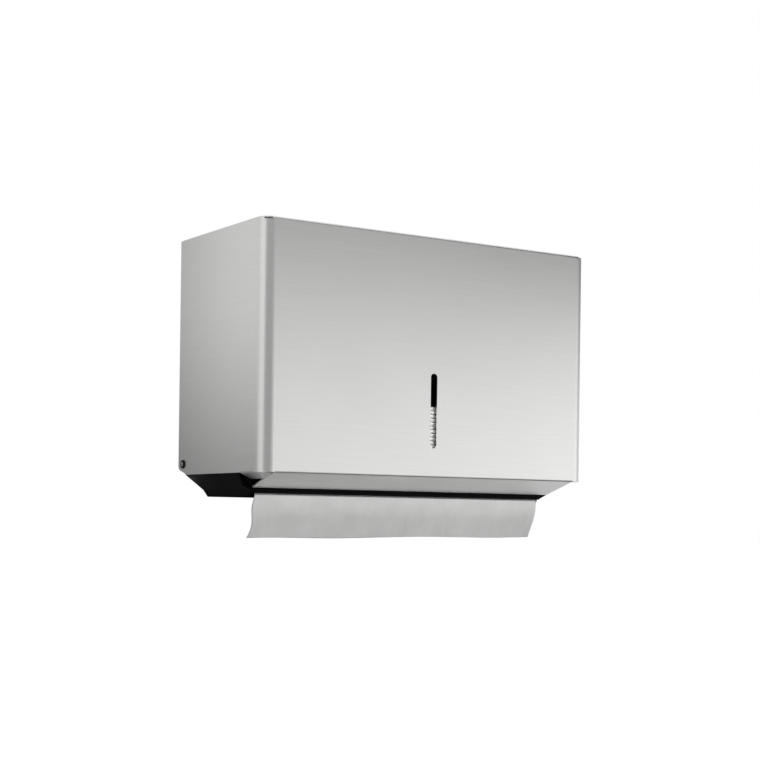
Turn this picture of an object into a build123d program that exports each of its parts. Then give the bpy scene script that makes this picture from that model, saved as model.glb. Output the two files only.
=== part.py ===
from build123d import *
import os
from math import atan2, cos, hypot, pi, radians, sin, tan

# Wall dispenser for folded paper towels, in millimetres.
# The origin is on the wall, at the centre of the four wall screws.
# +X is right, +Y goes into the wall, +Z is up.

# Towels
TOWEL_WIDTH = 250.0
FOLDED_DEPTH = 105.0
STACK_HEIGHT = 49.0
FOLD_COUNT = 18
FOLD_BULGE = 0.9
LEAF_THICKNESS = 0.4
LEAF_HANG = 28.0
LEAF_LEAN = 11.9
LEAF_RIPPLE = 0.7
LEAF_SKEW = 1.3
LEAF_SECTIONS = 7
LEAF_WAVES = 1.5
LEAF_GAP = 0.6
LEAF_TUCK = 0.2

# Room that the cover leaves round the stack
SIDE_ROOM = 17.0
REAR_ROOM = 18.0
FRONT_ROOM = 3.0

# Cover
COVER_HEIGHT = 173.5
SHEET = 1.0
CORNER_RADIUS = 10.0
FOLD_RADIUS = 1.6
FOLD_STUB = 3.0
WALL_GAP = 0.5
NOTCH_HEIGHT = 1.0
NOTCH_START = 13.0
NOTCH_END = 47.0
NOTCH_BITE = 2.0
SLOT_LENGTH = 54.0
SLOT_WIDTH = 5.6
SLOT_BOTTOM = 20.8
LIP_REACH = 31.5
LIP_DROP = 10.0
LIP_RELIEF = 1.3
RETURN_REACH = 9.0
RETURN_DROP = 4.2
RETURN_END = 97.0
RETURN_SWEEP = 90.0
EAR_RISE = 4.1
EAR_RUN = 13.5
EAR_ROUND = 4.0

# Wall screws
MOUNT_HEIGHT = 88.0
BOLT_SPACING_X = 200.0
BOLT_SPACING_Z = 90.0
BOLT_HOLE_RADIUS = 2.75

# Hinge, one set on each side
PIN_SETBACK = 8.25
PIN_HEIGHT = 7.75
PIN_RADIUS = 2.5
PIN_CLEARANCE = 0.05
PIN_HEAD_RADIUS = 3.2
PIN_HEAD_HEIGHT = 0.9
PIN_HEAD_ROUND = 0.6
PIN_SOCKET_RADIUS = 1.5
PIN_SOCKET_DEPTH = 0.6
PIN_TIP = 0.6
WASHER_THICKNESS = 1.4
WASHER_RADIUS = 5.0
HINGE_PLAY = 0.1
NUT_RADIUS = 4.6
NUT_THICKNESS = 4.0

# Back plate
PLATE = 1.2
PLATE_LIFT = 3.0
TOP_ROOM = 4.5
FLANGE_DEPTH = 16.0
FLANGE_ROUND = 6.0
FLANGE_RELIEF = 6.0
PLATE_BEND = 1.5
PLATE_EAR_INSET = 0.6

# Throat tray
TRAY_WALL = 2.0
DECK_SIDE_ROOM = 2.0
DECK_FRONT_ROOM = 7.5
DECK_FRONT_INSET = 3.0
DECK_CORNER = 5.0
THROAT_ROOM = 1.0
THROAT_OPENING = 48.0
THROAT_ROUND = 0.8
LIP_GAP = 4.2
RIM_REAR = 18.0
RIM_DROP = 16.0
RIM_CORNER = 4.0
RIM_DIP = 2.2
RIM_DIP_DEPTH = 5.0
APRON_DROP = 9.0
APRON_INSET = 3.0
KNEE_DROP = 11.0
KNEE_FLARE = 1.5
KNEE_REAR = 13.0
FUNNEL_REAR = 2.0
FRONT_FLARE = 0.8
CORNER_FLARE = 1.0
TRAY_FLANGE_HALF = 120.0
TRAY_FLANGE_HEIGHT = 16.0
RIB_COUNT = 4
RIB_WIDTH = 2.0
RIB_LEG = 6.0
SCREW_COUNT = 3
SCREW_SPACING = 65.0
SCREW_HEIGHT = 11.0
SCREW_RADIUS = 2.0
SCREW_HEAD_RADIUS = 3.6
SCREW_HEAD_HEIGHT = 2.2
SCREW_HEAD_ROUND = 1.2
SCREW_SLOT_LENGTH = 4.0
SCREW_SLOT_WIDTH = 0.9
SCREW_SLOT_DEPTH = 1.0
FASTENER_CLEARANCE = 0.05
FASTENER_SHORT = 0.1

# Towel guides
GUIDE_ROOM = 1.5
GUIDE_SHEET = 1.2
GUIDE_DEPTH = 100.0
GUIDE_HEIGHT = 105.0
GUIDE_LIFT = 0.3
GUIDE_FLANGE = 11.0
GUIDE_FLARE_RUN = 7.0
GUIDE_FLARE_OUT = 3.0
GUIDE_RIVET_INSET = 6.5
GUIDE_RIVET_LOW = 25.0
GUIDE_RIVET_SPACING = 60.0
RIVET_RADIUS = 1.6
RIVET_HEAD_RADIUS = 3.0
RIVET_HEAD_HEIGHT = 1.2
RIVET_HEAD_ROUND = 0.9

# Buffers
BUFFER_SPREAD = 110.0
BUFFER_RADIUS = 5.0
BUFFER_ROUND = 1.5
BUFFER_GAP = 0.3
BUFFER_NECK_RADIUS = 2.5
BUFFER_BARB_RADIUS = 3.5
BUFFER_BARB_HEIGHT = 2.0

# Lock
LOCK_SETBACK = 28.0
LOCK_HEAD_RADIUS = 11.0
LOCK_HEAD_HEIGHT = 2.0
LOCK_HEAD_ROUND = 0.8
LOCK_BODY_RADIUS = 8.0
LOCK_BODY_LENGTH = 15.0
LOCK_CLEARANCE = 0.05
LOCK_WASHER_RADIUS = 11.5
LOCK_WASHER_THICKNESS = 0.8
LOCK_NUT_RADIUS = 12.5
LOCK_NUT_THICKNESS = 3.0
PLUG_RADIUS = 5.5
PLUG_HEAD_RADIUS = 6.9
PLUG_HEAD_HEIGHT = 1.4
PLUG_HEAD_SINK = 0.2
KEYWAY_LENGTH = 8.0
KEYWAY_WIDTH = 1.6
KEYWAY_DEPTH = 7.0
CAM_THICKNESS = 2.5
CAM_REACH = 22.0
CAM_WIDTH = 12.0
CAM_TIP_ROUND = 3.0
CAM_HUB_RADIUS = 7.5
CAM_SQUARE = 7.0
CAM_PLAY = 0.3
CAM_SCREW_RADIUS = 1.75
CAM_SCREW_LENGTH = 8.0
CAM_SCREW_HEAD_RADIUS = 4.2
CAM_SCREW_HEAD_HEIGHT = 2.2

# Strike that the cam turns behind
STRIKE_SHEET = 1.5
STRIKE_INSET = 14.0
STRIKE_WIDTH = 14.0
STRIKE_DROP = 16.0
STRIKE_REAR = 3.0
STRIKE_GAP = 1.0
STRIKE_RIVET_SPACING = 7.0
STRIKE_RIVET_SETBACK = 9.0

# Places worked out from the sizes above
towel_half = TOWEL_WIDTH / 2
cover_half = towel_half + SIDE_ROOM
cover_depth = REAR_ROOM + FOLDED_DEPTH + FRONT_ROOM
cover_front = -cover_depth
cover_rear = -WALL_GAP
cover_bottom = -MOUNT_HEIGHT
cover_top = cover_bottom + COVER_HEIGHT
bend_x = cover_half - CORNER_RADIUS
bend_y = cover_front + CORNER_RADIUS
lip_half = bend_x - LIP_RELIEF
pin_place = (-PIN_SETBACK, cover_bottom + PIN_HEIGHT)
pin_bore = PIN_RADIUS + PIN_CLEARANCE
plate_half = cover_half - SHEET - HINGE_PLAY - WASHER_THICKNESS
plate_bottom = cover_bottom + PLATE_LIFT
plate_top = cover_top - SHEET - TOP_ROOM
plate_height = plate_top - plate_bottom
deck_top = cover_bottom + TRAY_WALL
stack_rear = -REAR_ROOM
stack_front = stack_rear - FOLDED_DEPTH
throat_half = towel_half + THROAT_ROOM
rim_front = cover_front + LIP_REACH + LIP_GAP
rim_level = cover_bottom - RIM_DROP
throat_front = rim_front + TRAY_WALL
deck_half = cover_half - SHEET - DECK_SIDE_ROOM
deck_front = cover_front + DECK_FRONT_ROOM
guide_face = towel_half + GUIDE_ROOM
guide_bottom = deck_top + GUIDE_LIFT
lock_y = -LOCK_SETBACK
lock_underside = cover_top - LOCK_BODY_LENGTH
cam_top = lock_underside - CAM_PLAY
cam_bottom = cam_top - CAM_THICKNESS
strike_face = lock_y - CAM_WIDTH / 2 - STRIKE_GAP
strike_top = plate_top - PLATE
tray_screw_places = [
    ((i - (SCREW_COUNT - 1) / 2) * SCREW_SPACING, cover_bottom + SCREW_HEIGHT)
    for i in range(SCREW_COUNT)
]
guide_rivet_places = [
    (side * (guide_face + GUIDE_RIVET_INSET), guide_bottom + GUIDE_RIVET_LOW + row * GUIDE_RIVET_SPACING)
    for side in (-1, 1)
    for row in (0, 1)
]
strike_rivet_places = [
    (STRIKE_INSET + (STRIKE_WIDTH + side * STRIKE_RIVET_SPACING) / 2, -STRIKE_RIVET_SETBACK)
    for side in (-1, 1)
]
buffer_places = [(side * BUFFER_SPREAD, -PIN_SETBACK) for side in (-1, 1)]


def fold_points(edge, inward, reach, drop):
    """Section of a flap folded inwards from the lower edge of an upright sheet."""
    length = hypot(reach, drop)
    inner_rise = SHEET * tan(atan2(reach, drop) / 2)
    return [
        (edge, cover_bottom + FOLD_STUB),
        (edge, cover_bottom),
        (edge + inward * reach, cover_bottom - drop),
        (edge + inward * (reach + SHEET * drop / length), cover_bottom - drop + SHEET * reach / length),
        (edge + inward * SHEET, cover_bottom + inner_rise),
        (edge + inward * SHEET, cover_bottom + FOLD_STUB),
    ]


def round_fold(section, points):
    """Round the outside and the inside of the fold in its section."""
    fillet(section.vertices().sort_by_distance(points[1])[0], FOLD_RADIUS)
    fillet(section.vertices().sort_by_distance(points[4])[0], FOLD_RADIUS - SHEET)


def ear_points(inset):
    """Triangle that is cut off a lower rear corner, drawn in by the inset."""
    return [
        (0, cover_bottom),
        (0, cover_bottom + EAR_RISE + inset + WALL_GAP * EAR_RISE / EAR_RUN),
        (cover_rear - EAR_RUN - inset * EAR_RUN / EAR_RISE, cover_bottom),
    ]


# Cover: front, sides and top are one folded sheet, open at the back and below
lip_points = fold_points(cover_front, 1, LIP_REACH, LIP_DROP)
return_points = fold_points(-cover_half, 1, RETURN_REACH, RETURN_DROP)
return_length = cover_depth - CORNER_RADIUS - RETURN_END

with BuildPart() as cover_shell:
    with BuildSketch(Plane.XY.offset(cover_bottom)) as outer_outline:
        with Locations((0, (cover_front + cover_rear) / 2)):
            Rectangle(2 * cover_half, cover_rear - cover_front)
        fillet(outer_outline.vertices().group_by(Axis.Y)[0], CORNER_RADIUS)
    extrude(amount=COVER_HEIGHT)
    fillet(cover_shell.edges().group_by(Axis.Z)[-1].sort_by(Axis.Y)[:-1], FOLD_RADIUS)
    with BuildSketch(Plane.XY.offset(cover_bottom)) as inner_outline:
        with Locations((0, (cover_front + SHEET) / 2)):
            Rectangle(2 * (cover_half - SHEET), -cover_front - SHEET)
        fillet(inner_outline.vertices().group_by(Axis.Y)[0], CORNER_RADIUS - SHEET)
    extrude(amount=COVER_HEIGHT - SHEET, mode=Mode.SUBTRACT)

    # Relief notches in the top's edge where the upright bends end
    with BuildSketch(Plane.XY.offset(cover_top - SHEET - NOTCH_HEIGHT)):
        for side in (-1, 1):
            with BuildLine():
                Polyline(
                    (side * bend_x, bend_y),
                    *[
                        (
                            side * (bend_x + 2 * CORNER_RADIUS * sin(radians(turn))),
                            bend_y - 2 * CORNER_RADIUS * cos(radians(turn)),
                        )
                        for turn in (NOTCH_START, NOTCH_END)
                    ],
                    close=True,
                )
            make_face()
        with Locations((-bend_x, bend_y), (bend_x, bend_y)):
            Circle(CORNER_RADIUS - NOTCH_BITE, mode=Mode.SUBTRACT)
    extrude(amount=SHEET + NOTCH_HEIGHT, mode=Mode.SUBTRACT)

    # Sight slot
    with BuildSketch(Plane.XZ.offset(cover_depth)):
        with Locations((0, cover_bottom + SLOT_BOTTOM + SLOT_LENGTH / 2)):
            SlotOverall(SLOT_LENGTH, SLOT_WIDTH, rotation=90)
    extrude(amount=-SHEET, mode=Mode.SUBTRACT)

    # Front lip, folded back under the cabinet between the bends
    with BuildSketch(Plane.XZ.offset(cover_depth)):
        with Locations((0, cover_bottom)):
            Rectangle(2 * lip_half, 2 * FOLD_STUB)
    extrude(amount=-SHEET, mode=Mode.SUBTRACT)
    with BuildSketch(Plane.YZ) as lip_section:
        with BuildLine():
            Polyline(*lip_points, close=True)
        make_face()
        round_fold(lip_section, lip_points)
    extrude(amount=lip_half, both=True)

    # Narrow return along the lower edge of the left side, on round its bend to the lip
    with BuildSketch(Plane.XZ.offset(RETURN_END)):
        with Locations((-cover_half + SHEET / 2, cover_bottom)):
            Rectangle(SHEET, 2 * FOLD_STUB)
    extrude(amount=return_length, mode=Mode.SUBTRACT)
    with BuildSketch(Plane.XZ.offset(-bend_y)) as return_section:
        with BuildLine():
            Polyline(*return_points, close=True)
        make_face()
        round_fold(return_section, return_points)
    extrude(amount=-return_length)
    bend_axis = Axis((-bend_x, bend_y, 0), (0, 0, 1))
    revolve(return_section.sketch, bend_axis, revolution_arc=RETURN_SWEEP)

    # Cut-off lower rear corners, so that the cover can tip past the wall
    with BuildSketch(Plane.YZ.offset(-cover_half)):
        with BuildLine():
            Polyline(*ear_points(0), close=True)
        make_face()
    extrude(amount=2 * cover_half, mode=Mode.SUBTRACT)
    ear_edges = cover_shell.edges().filter_by(Axis.X).group_by(Axis.Y)[-1].group_by(Axis.Z)[0]
    fillet(ear_edges, EAR_ROUND)

    # Hinge holes and the lock's hole
    with BuildSketch(Plane.YZ.offset(-cover_half)):
        with Locations(pin_place):
            Circle(pin_bore)
    extrude(amount=2 * cover_half, mode=Mode.SUBTRACT)
    with BuildSketch(Plane.XY.offset(cover_top)):
        with Locations((0, lock_y)):
            Circle(LOCK_BODY_RADIUS + LOCK_CLEARANCE)
    extrude(amount=-SHEET, mode=Mode.SUBTRACT)

# Back plate, screwed to the wall, with folded sides and top
with BuildPart() as back_plate:
    with BuildSketch(Plane.XZ):
        with Locations((0, (plate_bottom + plate_top) / 2)):
            Rectangle(2 * plate_half, plate_height)
    extrude(amount=PLATE)
    with BuildSketch(Plane.XZ):
        for side in (-1, 1):
            with Locations((side * (plate_half - PLATE / 2), (plate_bottom + plate_top) / 2)):
                Rectangle(PLATE, plate_height)
    extrude(amount=FLANGE_DEPTH)
    fillet(back_plate.edges().filter_by(Axis.X).group_by(Axis.Y)[0], FLANGE_ROUND)
    with BuildSketch(Plane.XZ):
        with Locations((0, plate_top - PLATE / 2)):
            Rectangle(2 * (plate_half - FLANGE_RELIEF), PLATE)
    extrude(amount=FLANGE_DEPTH)
    fillet(back_plate.edges().filter_by(Axis.Z).group_by(Axis.Y)[-1], PLATE_BEND)

    # Lower edge, cut back with the cover's rear corners
    with BuildSketch(Plane.YZ.offset(-plate_half)):
        with BuildLine():
            Polyline(*ear_points(PLATE_EAR_INSET), close=True)
        make_face()
    extrude(amount=2 * plate_half, mode=Mode.SUBTRACT)

    # Wall screw holes, then the holes for what the plate carries
    with BuildSketch(Plane.XZ):
        with GridLocations(BOLT_SPACING_X, BOLT_SPACING_Z, 2, 2):
            Circle(BOLT_HOLE_RADIUS)
        with Locations(*tray_screw_places):
            Circle(SCREW_RADIUS + FASTENER_CLEARANCE)
        with Locations(*guide_rivet_places):
            Circle(RIVET_RADIUS + FASTENER_CLEARANCE)
    extrude(amount=PLATE, mode=Mode.SUBTRACT)
    with BuildSketch(Plane.XY.offset(plate_top)):
        with Locations(*strike_rivet_places):
            Circle(RIVET_RADIUS + FASTENER_CLEARANCE)
        with Locations(*buffer_places):
            Circle(BUFFER_NECK_RADIUS + FASTENER_CLEARANCE)
    extrude(amount=-PLATE, mode=Mode.SUBTRACT)
    with BuildSketch(Plane.YZ.offset(-plate_half)):
        with Locations(pin_place):
            Circle(pin_bore)
    extrude(amount=2 * plate_half, mode=Mode.SUBTRACT)

# Throat tray: a deck that the stack lies on, and a flared skirt that guides the towel out
knee_half = throat_half + TRAY_WALL + KNEE_FLARE
skirt_levels = [
    (cover_bottom, deck_half, FUNNEL_REAR, 2),
    (cover_bottom - KNEE_DROP, knee_half, KNEE_REAR, 1),
    (rim_level, throat_half + TRAY_WALL, RIM_REAR, 0),
]


def skirt_sections(inset):
    """Rounded outlines of the skirt from the deck down to its rim, drawn in by the inset."""
    outlines = []
    for level, half, rear, steps in skirt_levels:
        front = rim_front - steps * FRONT_FLARE
        with BuildSketch(Plane.XY.offset(level)) as outline:
            with Locations((0, (front - rear) / 2)):
                RectangleRounded(
                    2 * (half - inset),
                    -rear - front - 2 * inset,
                    RIM_CORNER + steps * CORNER_FLARE - inset,
                )
        outlines.append(outline.sketch)
    return outlines


with BuildPart() as hopper_tray:
    loft(skirt_sections(0), ruled=True)
    loft(skirt_sections(TRAY_WALL), ruled=True, mode=Mode.SUBTRACT)
    extrude(skirt_sections(0)[0], amount=TRAY_WALL)
    with BuildSketch(Plane.XY.offset(cover_bottom)):
        with Locations((0, (deck_front - PLATE) / 2)):
            RectangleRounded(2 * (deck_half - DECK_FRONT_INSET), -PLATE - deck_front, DECK_CORNER)
    extrude(amount=TRAY_WALL)
    with BuildSketch(Plane.XY.offset(cover_bottom)):
        with Locations((0, throat_front + THROAT_OPENING / 2)):
            Rectangle(2 * throat_half, THROAT_OPENING)
    extrude(amount=TRAY_WALL, mode=Mode.SUBTRACT)
    opening_edges = hopper_tray.edges().filter_by(Axis.X).filter_by_position(Axis.Z, deck_top, deck_top)
    opening_edges = opening_edges.filter_by_position(Axis.Y, throat_front, throat_front + THROAT_OPENING)
    fillet(opening_edges, THROAT_ROUND)

    # Dip in the front of the rim, where fingers take hold of the towel
    with BuildSketch(Plane.XY.offset(rim_level)):
        with Locations((0, rim_front)):
            Rectangle(2 * cover_half, 2 * RIM_DIP_DEPTH)
    extrude(amount=RIM_DIP, mode=Mode.SUBTRACT)

    # Apron: the front wall spreads out to the deck's width above the dip
    with BuildSketch(Plane.XZ.offset(-throat_front)):
        with BuildLine():
            Polyline(
                (deck_half, cover_bottom),
                (deck_half - APRON_INSET, cover_bottom - APRON_DROP),
                (throat_half, rim_level + RIM_DIP),
                (-throat_half, rim_level + RIM_DIP),
                (-deck_half + APRON_INSET, cover_bottom - APRON_DROP),
                (-deck_half, cover_bottom),
                close=True,
            )
        make_face()
    extrude(amount=TRAY_WALL)

    # Upright flange against the back plate, with ribs and screw holes
    with BuildSketch(Plane.XZ.offset(PLATE)):
        with Locations((0, cover_bottom + TRAY_FLANGE_HEIGHT / 2)):
            Rectangle(2 * TRAY_FLANGE_HALF, TRAY_FLANGE_HEIGHT)
        with Locations(*tray_screw_places):
            Circle(SCREW_RADIUS + FASTENER_CLEARANCE, mode=Mode.SUBTRACT)
    extrude(amount=TRAY_WALL)
    for i in range(RIB_COUNT):
        rib_x = (i - (RIB_COUNT - 1) / 2) * SCREW_SPACING
        with BuildSketch(Plane.YZ.offset(rib_x - RIB_WIDTH / 2)):
            with BuildLine():
                Polyline(
                    (-PLATE - TRAY_WALL, deck_top),
                    (-PLATE - TRAY_WALL, deck_top + RIB_LEG),
                    (-PLATE - TRAY_WALL - RIB_LEG, deck_top),
                    close=True,
                )
            make_face()
        extrude(amount=RIB_WIDTH)

with BuildPart() as tray_screws:
    for place in tray_screw_places:
        with BuildSketch(Plane.XZ.offset(FASTENER_SHORT)):
            with Locations(place):
                Circle(SCREW_RADIUS)
        extrude(amount=PLATE + TRAY_WALL - FASTENER_SHORT)
        with BuildSketch(Plane.XZ.offset(PLATE + TRAY_WALL)):
            with Locations(place):
                Circle(SCREW_HEAD_RADIUS)
        extrude(amount=SCREW_HEAD_HEIGHT)
    fillet(tray_screws.edges().filter_by(GeomType.CIRCLE).group_by(Axis.Y)[0], SCREW_HEAD_ROUND)
    with BuildSketch(Plane.XZ.offset(PLATE + TRAY_WALL + SCREW_HEAD_HEIGHT)):
        with Locations(*tray_screw_places):
            Rectangle(SCREW_SLOT_LENGTH, SCREW_SLOT_WIDTH)
            Rectangle(SCREW_SLOT_WIDTH, SCREW_SLOT_LENGTH)
    extrude(amount=-SCREW_SLOT_DEPTH, mode=Mode.SUBTRACT)

# Towel guides: upright angles with a flared front edge
with BuildPart() as guide_right:
    with BuildSketch(Plane.XY.offset(guide_bottom)):
        with BuildLine():
            Polyline(
                (guide_face + GUIDE_FLANGE, -PLATE - GUIDE_SHEET),
                (guide_face + GUIDE_FLANGE, -PLATE),
                (guide_face, -PLATE),
                (guide_face, -GUIDE_DEPTH),
                (guide_face + GUIDE_FLARE_OUT, -GUIDE_DEPTH - GUIDE_FLARE_RUN),
                (guide_face + GUIDE_FLARE_OUT + GUIDE_SHEET, -GUIDE_DEPTH - GUIDE_FLARE_RUN),
                (guide_face + GUIDE_SHEET, -GUIDE_DEPTH),
                (guide_face + GUIDE_SHEET, -PLATE - GUIDE_SHEET),
                close=True,
            )
        make_face()
    extrude(amount=GUIDE_HEIGHT)
    with BuildSketch(Plane.XZ.offset(PLATE)):
        with Locations(*guide_rivet_places[2:]):
            Circle(RIVET_RADIUS + FASTENER_CLEARANCE)
    extrude(amount=GUIDE_SHEET, mode=Mode.SUBTRACT)

with BuildPart() as guide_left:
    mirror(guide_right.part, about=Plane.YZ)

with BuildPart() as guide_rivets:
    for place in guide_rivet_places:
        with BuildSketch(Plane.XZ.offset(FASTENER_SHORT)):
            with Locations(place):
                Circle(RIVET_RADIUS)
        extrude(amount=PLATE + GUIDE_SHEET - FASTENER_SHORT)
        with BuildSketch(Plane.XZ.offset(PLATE + GUIDE_SHEET)):
            with Locations(place):
                Circle(RIVET_HEAD_RADIUS)
        extrude(amount=RIVET_HEAD_HEIGHT)
    fillet(guide_rivets.edges().filter_by(GeomType.CIRCLE).group_by(Axis.Y)[0], RIVET_HEAD_ROUND)

# Hinge: button-head pins that run through washers and the plate's folded sides into nuts
nut_inner = plate_half - PLATE - NUT_THICKNESS

with BuildPart() as hinge_pin_right:
    with BuildSketch(Plane.YZ.offset(nut_inner - PIN_TIP)):
        with Locations(pin_place):
            Circle(PIN_RADIUS)
    extrude(amount=cover_half + HINGE_PLAY - nut_inner + PIN_TIP)
    with BuildSketch(Plane.YZ.offset(cover_half + HINGE_PLAY)):
        with Locations(pin_place):
            Circle(PIN_HEAD_RADIUS)
    extrude(amount=PIN_HEAD_HEIGHT)
    fillet(hinge_pin_right.edges().group_by(Axis.X)[-1], PIN_HEAD_ROUND)
    with BuildSketch(Plane.YZ.offset(cover_half + HINGE_PLAY + PIN_HEAD_HEIGHT)):
        with Locations(pin_place):
            RegularPolygon(PIN_SOCKET_RADIUS, 6)
    extrude(amount=-PIN_SOCKET_DEPTH, mode=Mode.SUBTRACT)

with BuildPart() as hinge_washer_right:
    with BuildSketch(Plane.YZ.offset(plate_half)):
        with Locations(pin_place):
            Circle(WASHER_RADIUS)
            Circle(pin_bore, mode=Mode.SUBTRACT)
    extrude(amount=WASHER_THICKNESS)

with BuildPart() as hinge_nut_right:
    with BuildSketch(Plane.YZ.offset(nut_inner)):
        with Locations(pin_place):
            RegularPolygon(NUT_RADIUS, 6)
            Circle(pin_bore, mode=Mode.SUBTRACT)
    extrude(amount=NUT_THICKNESS)

with BuildPart() as hinge_pin_left:
    mirror(hinge_pin_right.part, about=Plane.YZ)

with BuildPart() as hinge_washer_left:
    mirror(hinge_washer_right.part, about=Plane.YZ)

with BuildPart() as hinge_nut_left:
    mirror(hinge_nut_right.part, about=Plane.YZ)

# Rubber buffers, pushed through the plate's top flange
with BuildPart() as buffer_right:
    with BuildSketch(Plane.XY.offset(plate_top)):
        with Locations(buffer_places[1]):
            Circle(BUFFER_RADIUS)
    extrude(amount=TOP_ROOM - BUFFER_GAP)
    fillet(buffer_right.edges().group_by(Axis.Z)[-1], BUFFER_ROUND)
    with BuildSketch(Plane.XY.offset(plate_top - PLATE)):
        with Locations(buffer_places[1]):
            Circle(BUFFER_NECK_RADIUS)
    extrude(amount=PLATE)
    with BuildSketch(Plane.XY.offset(plate_top - PLATE)):
        with Locations(buffer_places[1]):
            Circle(BUFFER_BARB_RADIUS)
    extrude(amount=-BUFFER_BARB_HEIGHT)

with BuildPart() as buffer_left:
    mirror(buffer_right.part, about=Plane.YZ)

# Strike under the plate's top flange
with BuildPart() as lock_strike:
    with BuildSketch(Plane.YZ.offset(STRIKE_INSET)) as strike_section:
        with BuildLine():
            Polyline(
                (-STRIKE_REAR, strike_top),
                (strike_face - STRIKE_SHEET, strike_top),
                (strike_face - STRIKE_SHEET, strike_top - STRIKE_DROP),
                (strike_face, strike_top - STRIKE_DROP),
                (strike_face, strike_top - STRIKE_SHEET),
                (-STRIKE_REAR, strike_top - STRIKE_SHEET),
                close=True,
            )
        make_face()
        fillet(
            strike_section.vertices().sort_by_distance((strike_face - STRIKE_SHEET, strike_top))[0],
            STRIKE_SHEET,
        )
    extrude(amount=STRIKE_WIDTH)
    with BuildSketch(Plane.XY.offset(strike_top)):
        with Locations(*strike_rivet_places):
            Circle(RIVET_RADIUS + FASTENER_CLEARANCE)
    extrude(amount=-STRIKE_SHEET, mode=Mode.SUBTRACT)

with BuildPart() as strike_rivets:
    for place in strike_rivet_places:
        with BuildSketch(Plane.XY.offset(plate_top)):
            with Locations(place):
                Circle(RIVET_RADIUS)
        extrude(amount=-PLATE - STRIKE_SHEET)
        with BuildSketch(Plane.XY.offset(strike_top - STRIKE_SHEET)):
            with Locations(place):
                Circle(RIVET_HEAD_RADIUS)
        extrude(amount=-RIVET_HEAD_HEIGHT)
    fillet(strike_rivets.edges().filter_by(GeomType.CIRCLE).group_by(Axis.Z)[0], RIVET_HEAD_ROUND)

# Cam lock in the top of the cover; the cam points to the wall when it is unlocked
lock_bore = PLUG_RADIUS + LOCK_CLEARANCE
lock_top = cover_top + LOCK_HEAD_HEIGHT
plug_top = lock_top - PLUG_HEAD_SINK

with BuildPart() as lock_barrel:
    with BuildSketch(Plane.XY.offset(cover_top)):
        with Locations((0, lock_y)):
            Circle(LOCK_HEAD_RADIUS)
    extrude(amount=LOCK_HEAD_HEIGHT)
    fillet(lock_barrel.edges().group_by(Axis.Z)[-1], LOCK_HEAD_ROUND)
    with BuildSketch(Plane.XY.offset(cover_top)):
        with Locations((0, lock_y)):
            Circle(LOCK_BODY_RADIUS)
    extrude(amount=-LOCK_BODY_LENGTH)
    with BuildSketch(Plane.XY.offset(lock_underside)):
        with Locations((0, lock_y)):
            Circle(lock_bore)
    extrude(amount=LOCK_BODY_LENGTH + LOCK_HEAD_HEIGHT, mode=Mode.SUBTRACT)
    with BuildSketch(Plane.XY.offset(plug_top - PLUG_HEAD_HEIGHT - LOCK_CLEARANCE)):
        with Locations((0, lock_y)):
            Circle(PLUG_HEAD_RADIUS + LOCK_CLEARANCE)
    extrude(amount=PLUG_HEAD_HEIGHT + PLUG_HEAD_SINK + LOCK_CLEARANCE, mode=Mode.SUBTRACT)

with BuildPart() as lock_washer:
    with BuildSketch(Plane.XY.offset(cover_top - SHEET)):
        with Locations((0, lock_y)):
            Circle(LOCK_WASHER_RADIUS)
            Circle(LOCK_BODY_RADIUS + LOCK_CLEARANCE, mode=Mode.SUBTRACT)
    extrude(amount=-LOCK_WASHER_THICKNESS)

with BuildPart() as lock_nut:
    with BuildSketch(Plane.XY.offset(cover_top - SHEET - LOCK_WASHER_THICKNESS)):
        with Locations((0, lock_y)):
            RegularPolygon(LOCK_NUT_RADIUS, 6)
            Circle(LOCK_BODY_RADIUS + LOCK_CLEARANCE, mode=Mode.SUBTRACT)
    extrude(amount=-LOCK_NUT_THICKNESS)

with BuildPart() as lock_plug:
    with BuildSketch(Plane.XY.offset(cam_top)):
        with Locations((0, lock_y)):
            Circle(PLUG_RADIUS)
    extrude(amount=plug_top - cam_top)
    with BuildSketch(Plane.XY.offset(plug_top)):
        with Locations((0, lock_y)):
            Circle(PLUG_HEAD_RADIUS)
    extrude(amount=-PLUG_HEAD_HEIGHT)
    with BuildSketch(Plane.XY.offset(cam_top)):
        with Locations((0, lock_y)):
            Rectangle(CAM_SQUARE, CAM_SQUARE)
    extrude(amount=-CAM_THICKNESS)
    with BuildSketch(Plane.XY.offset(plug_top)):
        with Locations((0, lock_y)):
            Rectangle(KEYWAY_WIDTH, KEYWAY_LENGTH)
    extrude(amount=-KEYWAY_DEPTH, mode=Mode.SUBTRACT)
    with BuildSketch(Plane.XY.offset(cam_bottom)):
        with Locations((0, lock_y)):
            Circle(CAM_SCREW_RADIUS + FASTENER_CLEARANCE)
    extrude(amount=CAM_SCREW_LENGTH + FASTENER_CLEARANCE, mode=Mode.SUBTRACT)

with BuildPart() as lock_cam:
    with BuildSketch(Plane.XY.offset(cam_bottom)) as cam_outline:
        with Locations((0, lock_y)):
            Circle(CAM_HUB_RADIUS)
        with Locations((0, lock_y + CAM_REACH / 2)):
            Rectangle(CAM_WIDTH, CAM_REACH)
        fillet(cam_outline.vertices().group_by(Axis.Y)[-1], CAM_TIP_ROUND)
        with Locations((0, lock_y)):
            Rectangle(
                CAM_SQUARE + 2 * FASTENER_CLEARANCE,
                CAM_SQUARE + 2 * FASTENER_CLEARANCE,
                mode=Mode.SUBTRACT,
            )
    extrude(amount=CAM_THICKNESS)

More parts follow.
